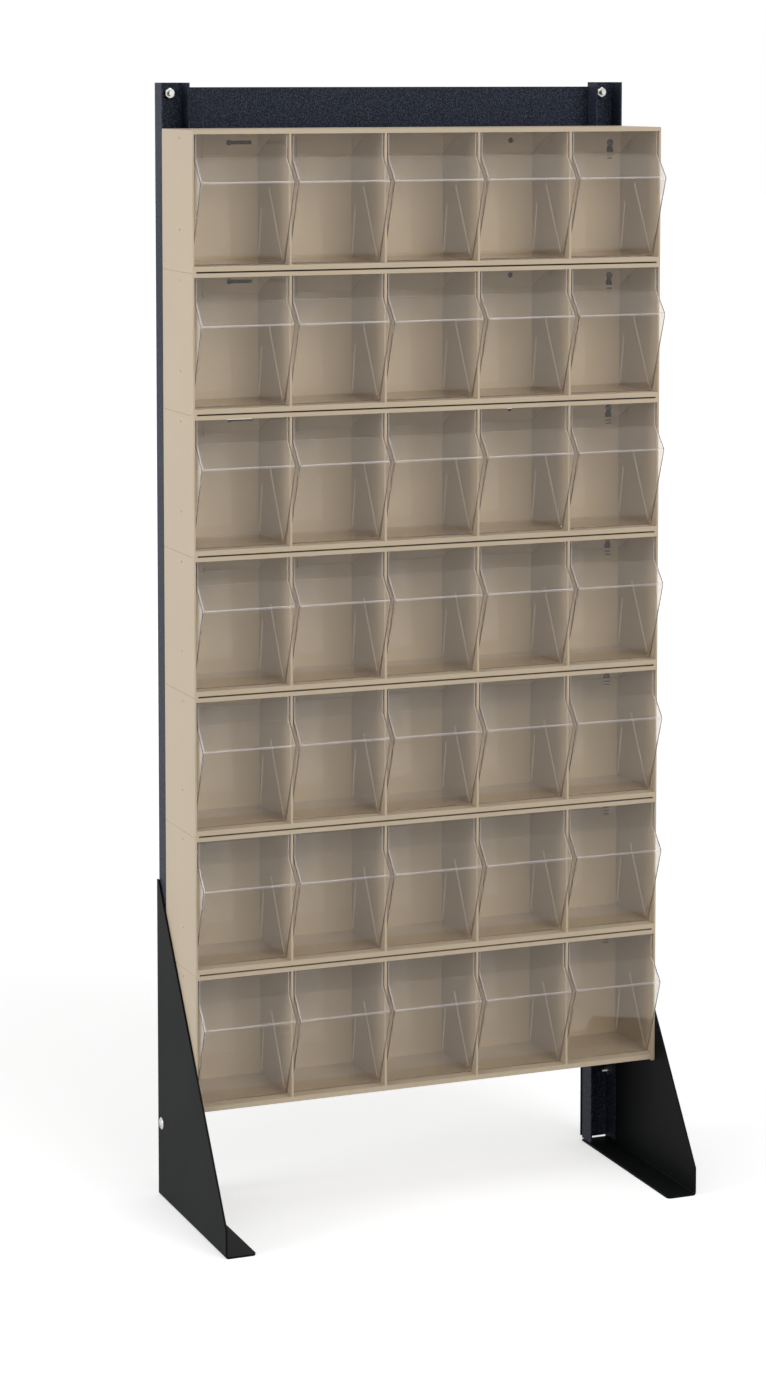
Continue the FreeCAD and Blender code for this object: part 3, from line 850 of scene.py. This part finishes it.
# The hanger screws are near black, painted keyhole shade.
fasten("hanger_screws", screw_tree, painted_shade_zinc, [
    ((side * post_x, hanger_front, hanger_first + i * hanger_step), to_front)
    for side in sides for i in range(len(levels))
], **hanger_screw)
fasten("hanger_nuts", nut_tree, zinc, [
    ((side * post_x, back, hanger_first + i * hanger_step), to_back)
    for side in sides for i, back in enumerate(hanger_backs)
], **hanger_nut)


# Floor: a plain pale studio floor that keeps the stand's shadow.
# To the eye it shows nearly white, also through the clear cups, and to the lamps a plain grey.
# A small dark card stands behind each open hole in the backs as painted shade, seen only by clear
# plastic or gloss.
def eye_rays(tree):
    """A mask of the rays that run from the eye to the backdrop, straight or by glass or metal."""
    path = put(tree, "ShaderNodeLightPath").outputs
    direct = calc(tree, "LESS_THAN", path["Diffuse Depth"], 0.5)
    bent = calc(tree, "MAXIMUM", path["Is Transmission Ray"], path["Is Glossy Ray"])
    return calc(tree, "MAXIMUM", path["Is Camera Ray"], calc(tree, "MULTIPLY", bent, direct))


def studio_floor():
    """Pale floor that is whiter to the camera than to the light that falls on the stand."""
    material, tree = start_material("studio_floor")
    plain = put(tree, "ShaderNodeBsdfDiffuse", {"Color": (0.55, 0.55, 0.545, 1.0)})
    pale = put(tree, "ShaderNodeBsdfDiffuse", {"Color": (0.8, 0.8, 0.8, 1.0)})
    place = put(tree, "ShaderNodeTexCoord").outputs["Object"]
    away = put(tree, "ShaderNodeVectorMath", {0: place}, operation="LENGTH").outputs["Value"]
    strength = put(tree, "ShaderNodeMapRange", {
        "Value": away, "From Min": 0.8, "From Max": 4.0, "To Min": 0.5, "To Max": 0.8,
    })
    glow = put(tree, "ShaderNodeEmission", {
        "Color": (1.0, 1.0, 1.0, 1.0), "Strength": strength.outputs[0],
    })
    white = put(tree, "ShaderNodeAddShader", {0: pale.outputs[0], 1: glow.outputs[0]})
    mixed = put(tree, "ShaderNodeMixShader", {
        0: eye_rays(tree), 1: plain.outputs[0], 2: white.outputs[0],
    })
    end_material(tree, mixed.outputs[0])
    return material


def painted_shade_card():
    """Matt dark brown grey card, a little uneven, as painted shade behind the open holes."""
    material, tree = start_material("painted_shade_card")
    cloud = put(tree, "ShaderNodeTexNoise", {"Scale": 12.0})
    colour = ramp_colour(tree, cloud.outputs["Fac"], [
        (0.3, (0.022, 0.018, 0.014)),
        (0.7, (0.03, 0.025, 0.02)),
    ])
    end_material(tree, put(tree, "ShaderNodeBsdfDiffuse", {"Color": colour}).outputs[0])
    return material


def staged_sheets(name, corners, material):
    """Flat sheets of four corners each, which aren't part of the stand."""
    mesh = bpy.data.meshes.new(name)
    mesh.from_pydata(corners, [], [range(i, i + 4) for i in range(0, len(corners), 4)])
    mesh.materials.append(material)
    sheets = add_object(name, mesh)
    sheets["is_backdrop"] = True
    return sheets


floor_half = 30.0
staged_sheets("floor", [
    (x * floor_half, y * floor_half, 0) for x, y in ((-1, -1), (1, -1), (1, 1), (-1, 1))
], studio_floor())

# How far the holes' middles lie below a cabinet's top, and from where to where they reach
hole_drop = 0.0171
hole_spans = ((0.1432, 0.1532), (0.1825, 0.2225))
card_half_height = 0.006
card_gap = 0.0015
# Painted shade: dark sheets behind the holes, seen only through clear plastic and in gloss.
painted_shade_corners = []
for level in levels:
    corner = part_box("cabinet_" + str(level))[1]
    behind = corner.y + card_gap
    bottom = corner.z - hole_drop - card_half_height
    top = corner.z - hole_drop + card_half_height
    for start, end in hole_spans + tuple((-end, -start) for start, end in hole_spans):
        painted_shade_corners += [
            (x, behind, z) for x, z in ((start, bottom), (end, bottom), (end, top), (start, top))
        ]
painted_shade_cards = staged_sheets("painted_shade_cards", painted_shade_corners, painted_shade_card())
painted_shade_cards.visible_camera = False
painted_shade_cards.visible_diffuse = False
painted_shade_cards.visible_shadow = False


# Studio light: a white room, a soft lamp on the left, a large one high in front on the right,
# and two weak ones, low in front on the left and above.
# The room itself shows plain white, and lights the stand with less.
world = bpy.data.worlds.new("white_room")
world.use_nodes = True
world.node_tree.nodes.clear()
room = world.node_tree
lit = put(room, "ShaderNodeBackground", {"Color": (1.0, 1.0, 1.0, 1.0), "Strength": 0.42})
shown = put(room, "ShaderNodeBackground", {"Color": (1.0, 1.0, 1.0, 1.0), "Strength": 1.0})
mixed = put(room, "ShaderNodeMixShader", {
    0: eye_rays(room), 1: lit.outputs[0], 2: shown.outputs[0],
})
put(room, "ShaderNodeOutputWorld", {"Surface": mixed.outputs[0]})
bpy.context.scene.world = world


def lamp(name, place, wide, high, power):
    """A soft lamp that points at the stand's middle."""
    data = bpy.data.lights.new(name, "AREA")
    data.shape = "RECTANGLE"
    data.size = wide
    data.size_y = high
    data.energy = power
    made = add_object(name, data)
    made.location = place
    made.rotation_euler = (stand_middle - Vector(place)).to_track_quat("-Z", "Y").to_euler()


stand_middle = Vector((0.0, 0.0, 0.7))
lamp("side_lamp", (-3.8, -0.2, 1.7), wide=1.6, high=2.0, power=56.0)
lamp("front_lamp", (0.8, -3.5, 3.0), wide=2.6, high=2.6, power=60.0)
lamp("left_lamp", (-2.8, -3.4, 1.3), wide=1.5, high=1.5, power=14.0)
lamp("top_lamp", (0.9, -0.8, 3.1), wide=3.0, high=2.2, power=9.0)

# Light passes many clear walls in a row here, so the ray limits are raised.
wall_bounces = 20
clear_layers = 48
rays = bpy.context.scene.cycles
rays.max_bounces = wall_bounces
rays.glossy_bounces = wall_bounces
rays.transmission_bounces = wall_bounces
rays.transparent_max_bounces = clear_layers

view = bpy.context.scene.view_settings
view.view_transform = "Standard"

low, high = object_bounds()
